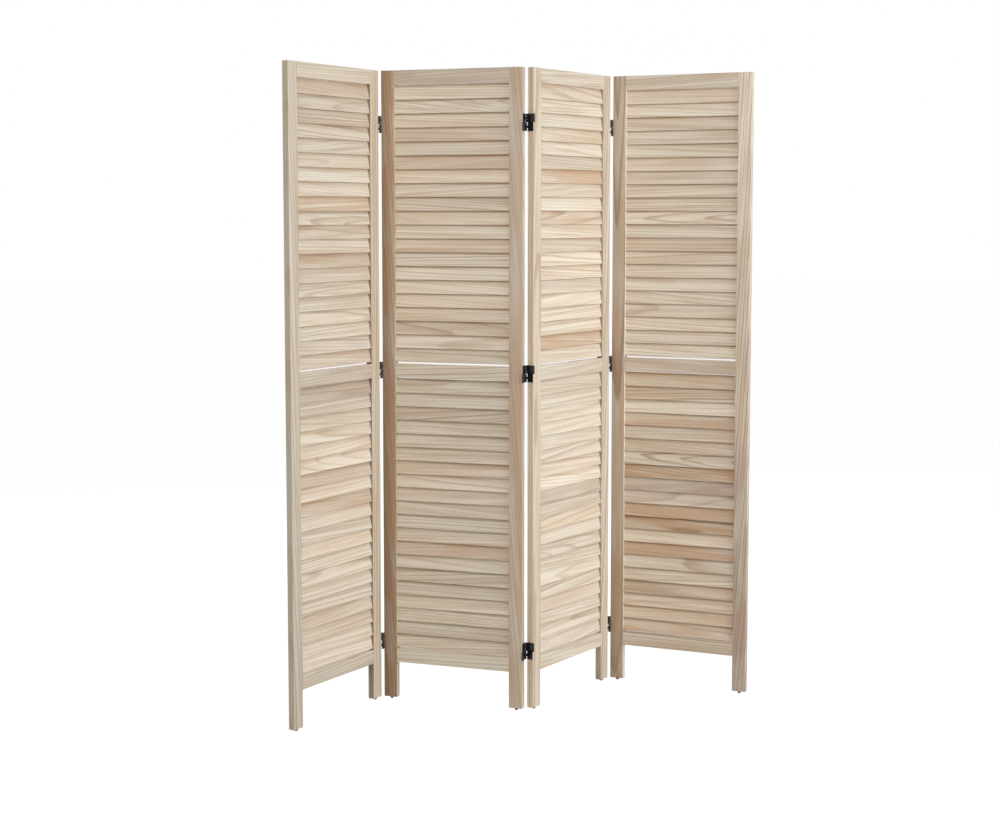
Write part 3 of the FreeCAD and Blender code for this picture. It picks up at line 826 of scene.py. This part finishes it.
def tube(form, centre, outer, inner, low, high):
    """An upright tube between two heights."""
    rims = []
    for radius in (outer, inner):
        ring = bmesh.ops.create_circle(form, cap_ends=False, segments=BARREL_SIDES, radius=radius)["verts"]
        bmesh.ops.translate(form, vec=(*centre, low), verts=ring)
        rims += edges_of(ring)
    floor = bmesh.ops.bridge_loops(form, edges=rims)["faces"]
    raised = bmesh.ops.extrude_face_region(form, geom=floor)["geom"]
    top = [g for g in raised if isinstance(g, bmesh.types.BMVert)]
    bmesh.ops.translate(form, vec=(0, 0, high - low), verts=top)


def roll(form, hinge, side, low, high):
    """A leaf's knuckle: an arm of sheet that is rolled round the axis on one side."""
    size = sizes()
    axis = Vector((0, side * hinge.axis, 0))
    corners = [(hinge.inside, low), (hinge.outside, low), (hinge.outside, high), (hinge.inside, high)]
    sheet = form.faces.new([form.verts.new((x, axis.y, z)) for x, z in corners])
    bmesh.ops.spin(form, geom=[sheet], cent=axis, axis=(0, 0, 1), dvec=(0, 0, 0),
                   angle=-side * size.roll, steps=ROLL_STEPS, use_merge=False, use_duplicate=False)
    arm = bmesh.ops.extrude_face_region(form, geom=[sheet])["geom"]
    root = [g for g in arm if isinstance(g, bmesh.types.BMVert)]
    reach = size.axis_proud + 2 * size.leaf_inset
    bmesh.ops.translate(form, vec=(0, -side * reach, 0), verts=root)
    bmesh.ops.delete(form, geom=[sheet], context="FACES_ONLY")


def make_leaf(hinge):
    """The left leaf: a plate on the panel's end, with knuckles at upper back and lower front."""
    size = sizes()
    form = bmesh.new()
    half = hinge.half_thickness - size.leaf_inset
    tall = size.hinge_height / 2
    eased_box(form, (hinge.inside, -half, -tall), (hinge.outside, half, tall), size.leaf_arris)
    for side in (1, -1):
        middle = side * hinge.link_middle
        roll(form, hinge, side, middle - hinge.knuckle / 2, middle + hinge.knuckle / 2)
    bmesh.ops.recalc_face_normals(form, faces=form.faces)
    return form


def make_link(hinge):
    """A link: a plate between both axes, with two knuckles at each, its middle at z = 0."""
    size = sizes()
    form = bmesh.new()
    half = hinge.link / 2
    wall = hinge.axis - size.barrel / 2
    notch = wall - size.link_room
    eased_box(form, (-size.sheet / 2, -notch, -half), (size.sheet / 2, notch, half), size.link_arris)
    for side in (1, -1):
        near, far = sorted((side * (notch - size.arm_lap), side * (wall + size.arm_bite)))
        for low in (-half, half - hinge.knuckle):
            high = low + hinge.knuckle
            eased_box(form, (-size.sheet / 2, near, low), (size.sheet / 2, far, high), size.link_arris)
            tube(form, (0, side * hinge.axis), size.barrel / 2, size.pin / 2, low, high)
    bmesh.ops.recalc_face_normals(form, faces=form.faces)
    return form


def make_pin(hinge):
    """A pin as long as a link, its ends chamfered."""
    size = sizes()
    form = bmesh.new()
    radius = size.pin / 2 - size.pin_play
    bmesh.ops.create_cone(form, cap_ends=True, segments=PIN_SIDES, radius1=radius, radius2=radius,
                          depth=hinge.link)
    rims = [e for e in form.edges if abs(e.verts[0].co.z - e.verts[1].co.z) < TOUCH]
    bevel(form, rims, size.pin_chamfer)
    return form


def make_screw(hinge):
    """A raised countersunk screw with a cross recess, along x, its head on the left leaf."""
    size = sizes()
    form = bmesh.new()
    shank, head = size.screw_shank / 2, size.screw_head / 2
    profile = [(shank, -size.sheet - size.screw_length), (shank, -size.sheet), (head, -size.screw_sunk)]
    profile += [(head * inward, size.screw_rise * upward) for inward, upward in SCREW_DOME]
    rings = []
    for radius, height in profile:
        ring = bmesh.ops.create_circle(form, cap_ends=False, segments=SCREW_SIDES, radius=radius)["verts"]
        bmesh.ops.translate(form, vec=(0, 0, height), verts=ring)
        rings.append(edges_of(ring))
    for lower, upper in zip(rings, rings[1:]):
        bmesh.ops.bridge_loops(form, edges=lower + upper)
    bmesh.ops.contextual_create(form, geom=rings[0])

    reach, arm = size.recess_span / 2, size.recess_arm / 2
    quarter = [(reach, -arm), (reach, arm), (arm, arm)]
    turns = [Matrix.Rotation(math.pi / 2 * i, 2) for i in range(4)]
    outline = [turn @ Vector(point) for turn in turns for point in quarter]
    loops = []
    for height in (size.screw_rise, size.screw_rise - size.recess_depth):
        verts = [form.verts.new((p.x, p.y, height)) for p in outline]
        loops.append([form.edges.new(pair) for pair in zip(verts, verts[1:] + verts[:1])])
    bmesh.ops.bridge_loops(form, edges=rings[-1] + loops[0])
    bmesh.ops.bridge_loops(form, edges=loops[0] + loops[1])
    bmesh.ops.contextual_create(form, geom=loops[1])
    bmesh.ops.recalc_face_normals(form, faces=form.faces)
    bmesh.ops.rotate(form, matrix=Matrix.Rotation(math.pi / 2, 3, "Y"), verts=form.verts)
    bmesh.ops.translate(form, vec=(hinge.outside, 0, 0), verts=form.verts)
    return form


def repeated(form, places):
    """Copies of a form at each of the places, as one bmesh."""
    mesh = bpy.data.meshes.new("form")
    form.to_mesh(mesh)
    form.free()
    whole = bmesh.new()
    for place in places:
        start = len(whole.verts)
        whole.from_mesh(mesh)
        whole.verts.ensure_lookup_table()
        bmesh.ops.transform(whole, matrix=place, verts=whole.verts[start:])
    bpy.data.meshes.remove(mesh)
    return whole


def carrier(node, fold):
    """The panel that a link or its pin moves with, and the end of that panel where the fold is."""
    number = int(frame["nodes"][node]["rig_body"].removeprefix("panel_"))
    return number, "right" if number == fold else "left"


class SCREEN_OT_hinges(bpy.types.Operator):
    """Leaves, links and pins of the double-action hinges"""

    bl_idname = "screen.hinges"
    bl_label = "Hinges"

    def execute(self, context):
        hinge = Hinge()
        paint = enamel("hinge_black_paint")
        steel = blackened("pin_blackened_steel")
        levels = [Matrix.Translation((0, 0, level)) for level in hinge.levels()]
        for fold in FOLDS:
            for side, number, turn in (("left", fold, Matrix()), ("right", fold + 1, HALF_TURN)):
                node = f"fold_{fold}_{side}_leaves"
                end = hinge.end(number, "right" if side == "left" else "left")
                form = repeated(make_leaf(hinge), [end @ level @ turn for level in levels])
                finish_piece(form, f"{node}_metal", node, paint)
            for half, rise in (("upper", hinge.link_middle), ("lower", -hinge.link_middle)):
                node = f"fold_{fold}_{half}_links"
                end = hinge.end(*carrier(node, fold))
                middles = [end @ level @ Matrix.Translation((0, 0, rise)) for level in levels]
                form = repeated(make_link(hinge), middles)
                finish_piece(form, f"{node}_metal", node, paint)
                pin_node = f"fold_{fold}_{half}_link_pins"
                shifts = [Matrix.Translation((0, y, 0)) for y in (-hinge.axis, hinge.axis)]
                form = repeated(make_pin(hinge), [middle @ shift for middle in middles for shift in shifts])
                finish_piece(form, f"{pin_node}_metal", pin_node, steel)
        return {"FINISHED"}


class SCREEN_OT_screws(bpy.types.Operator):
    """Screws of the hinge leaves"""

    bl_idname = "screen.screws"
    bl_label = "Hinge screws"

    def execute(self, context):
        hinge = Hinge()
        paint = enamel("screw_black_paint")
        pitch = sizes().screw_pitch / 2
        for number in PANELS:
            places = []
            for side, turn, free in (("right", Matrix(), PANELS[-1]), ("left", HALF_TURN, PANELS[0])):
                # The first and last panels each have an end with no hinge
                if number == free:
                    continue
                for level in hinge.levels():
                    for rise in (-pitch, pitch):
                        spot = Matrix.Translation((0, 0, level + rise))
                        places.append(hinge.end(number, side) @ spot @ turn)
            node = f"panel_{number}_hinge_screws"
            finish_piece(repeated(make_screw(hinge), places), f"{node}_metal", node, paint)
        return {"FINISHED"}


class SCREEN_OT_glides(bpy.types.Operator):
    """Foot glides"""

    bl_idname = "screen.glides"
    bl_label = "Foot glides"

    def execute(self, context):
        plastic = moulded("glide_plastic_moulded")
        for number in PANELS:
            node = f"panel_{number}_foot_glides"
            low, high = panel_box(node, number)
            places = [panel_matrix(number) @ Matrix.Translation((x, 0, 0)) for x in (0, low.x + high.x)]
            form = repeated(self.glide(high.z), places)
            finish_piece(form, f"{node}_plastic", node, plastic)
        return {"FINISHED"}

    def glide(self, tip):
        """A tapered pad with a rounded foot, on a nail that reaches up to the tip."""
        size = sizes()
        tall = size.glide_height
        form = bmesh.new()
        pad = bmesh.ops.create_cone(form, cap_ends=True, segments=GLIDE_SIDES, radius1=size.glide_foot / 2,
                                    radius2=size.glide / 2, depth=tall)["verts"]
        bmesh.ops.translate(form, vec=(0, 0, tall / 2), verts=pad)
        rim = [e for e in edges_of(pad) if max(v.co.z for v in e.verts) < TOUCH]
        bevel(form, rim, size.glide_round, segments=4)
        nail = bmesh.ops.create_cone(form, cap_ends=True, segments=NAIL_SIDES, radius1=size.glide_nail / 2,
                                     radius2=size.nail_tip / 2, depth=tip - tall)["verts"]
        bmesh.ops.translate(form, vec=(0, 0, (tip + tall) / 2), verts=nail)
        return form


class SCREEN_OT_stage(bpy.types.Operator):
    """Floor, lights and camera"""

    bl_idname = "screen.stage"
    bl_label = "Stage"

    def execute(self, context):
        setup = context.scene.screen_stage
        self.floor(setup)
        self.surroundings(context.scene, setup)
        self.lamp("key", setup.key_power, setup.key_size, setup.key_place, setup.key_tint)
        self.lamp("fill", setup.fill_power, setup.fill_size, setup.fill_place)
        self.lamp("back", setup.back_power, setup.back_size, setup.back_place)
        self.camera(context.scene, setup)
        context.scene.view_settings.view_transform = "Standard"
        return {"FINISHED"}

    def floor(self, setup):
        """A grey floor that is seen as white."""
        form = bmesh.new()
        bmesh.ops.create_grid(form, x_segments=1, y_segments=1, size=setup.floor_half)
        mesh = bpy.data.meshes.new("floor")
        form.to_mesh(mesh)
        form.free()
        floor = bpy.data.objects.new("floor", mesh)
        bpy.context.scene.collection.objects.link(floor)
        shader = Shader(bpy.data.materials.new("floor_white"))
        shader.set(Base_Color=opaque(setup.floor_grey), Roughness=0.9, Specular_IOR_Level=0.0)
        matt = Wire(shader, shader.surface.outputs[0])
        white = shader.add("ShaderNodeEmission", None, {"Color": WHITE, "Strength": setup.floor_glow})
        seen = self.shown(shader) * setup.floor_white
        mixed = shader.add("ShaderNodeMixShader", None, {0: seen, 1: matt, 2: white})
        output = shader.tree.nodes["Material Output"]
        shader.feed(output.inputs["Surface"], mixed)
        mesh.materials.append(shader.owner)

    def shown(self, shader):
        """1 for rays that show the background: from the camera, by a gloss or through glass."""
        rays = shader.add("ShaderNodeLightPath", output="Is Camera Ray")
        return rays.larger(rays.other("Is Glossy Ray")).larger(rays.other("Is Transmission Ray"))

    def surroundings(self, scene, setup):
        """An even light that is seen as white."""
        shader = Shader(bpy.data.worlds.new("studio"), "Background")
        shader.set(Color=WHITE, Strength=setup.ambient + self.shown(shader) * (1 - setup.ambient))
        scene.world = shader.owner

    def lamp(self, name, power, size, place, tint=(1, 1, 1)):
        """A light that faces the middle of the screen."""
        light = bpy.data.lights.new(name, "AREA")
        light.energy = power
        light.color = tint
        light.shape = "RECTANGLE"
        light.size, light.size_y = size
        lamp = bpy.data.objects.new(name, light)
        lamp.location = place
        middle = (Vector(CAD_BOX[0]) + Vector(CAD_BOX[1])) / 2
        lamp.rotation_euler = (middle - Vector(place)).to_track_quat("-Z", "Y").to_euler()
        bpy.context.scene.collection.objects.link(lamp)

    def camera(self, scene, setup):
        data = bpy.data.cameras.new("camera")
        data.lens = setup.camera_lens
        data.shift_y = setup.camera_shift
        camera = bpy.data.objects.new("camera", data)
        camera.location = setup.camera_place
        camera.rotation_euler = (math.pi / 2 - setup.camera_tilt, 0, 0)
        scene.collection.objects.link(camera)
        scene.camera = camera


class SCREEN_PT_pieces(bpy.types.Panel):
    """Buttons for the pieces of the screen"""

    bl_idname = "SCREEN_PT_pieces"
    bl_label = "Folding screen"
    bl_space_type = "VIEW_3D"
    bl_region_type = "UI"
    bl_category = "Screen"

    def draw(self, context):
        for operator in OPERATORS:
            self.layout.operator(operator.bl_idname)


OPERATORS = (
    SCREEN_OT_frames,
    SCREEN_OT_slats,
    SCREEN_OT_hinges,
    SCREEN_OT_screws,
    SCREEN_OT_glides,
    SCREEN_OT_stage,
)
GROUPS = {"screen_sizes": ScreenSizes, "screen_finishes": ScreenFinishes, "screen_stage": ScreenStage}
CLASSES = (*GROUPS.values(), *OPERATORS, SCREEN_PT_pieces)


def register():
    for cls in CLASSES:
        bpy.utils.register_class(cls)
    for name, group in GROUPS.items():
        setattr(bpy.types.Scene, name, PointerProperty(type=group))


def unregister():
    for name in GROUPS:
        delattr(bpy.types.Scene, name)
    for cls in reversed(CLASSES):
        bpy.utils.unregister_class(cls)


def main():
    register()
    bpy.ops.screen.frames()
    bpy.ops.screen.slats()
    bpy.ops.screen.hinges()
    bpy.ops.screen.screws()
    bpy.ops.screen.glides()
    bpy.ops.screen.stage()


if __name__ == "__main__":
    main()
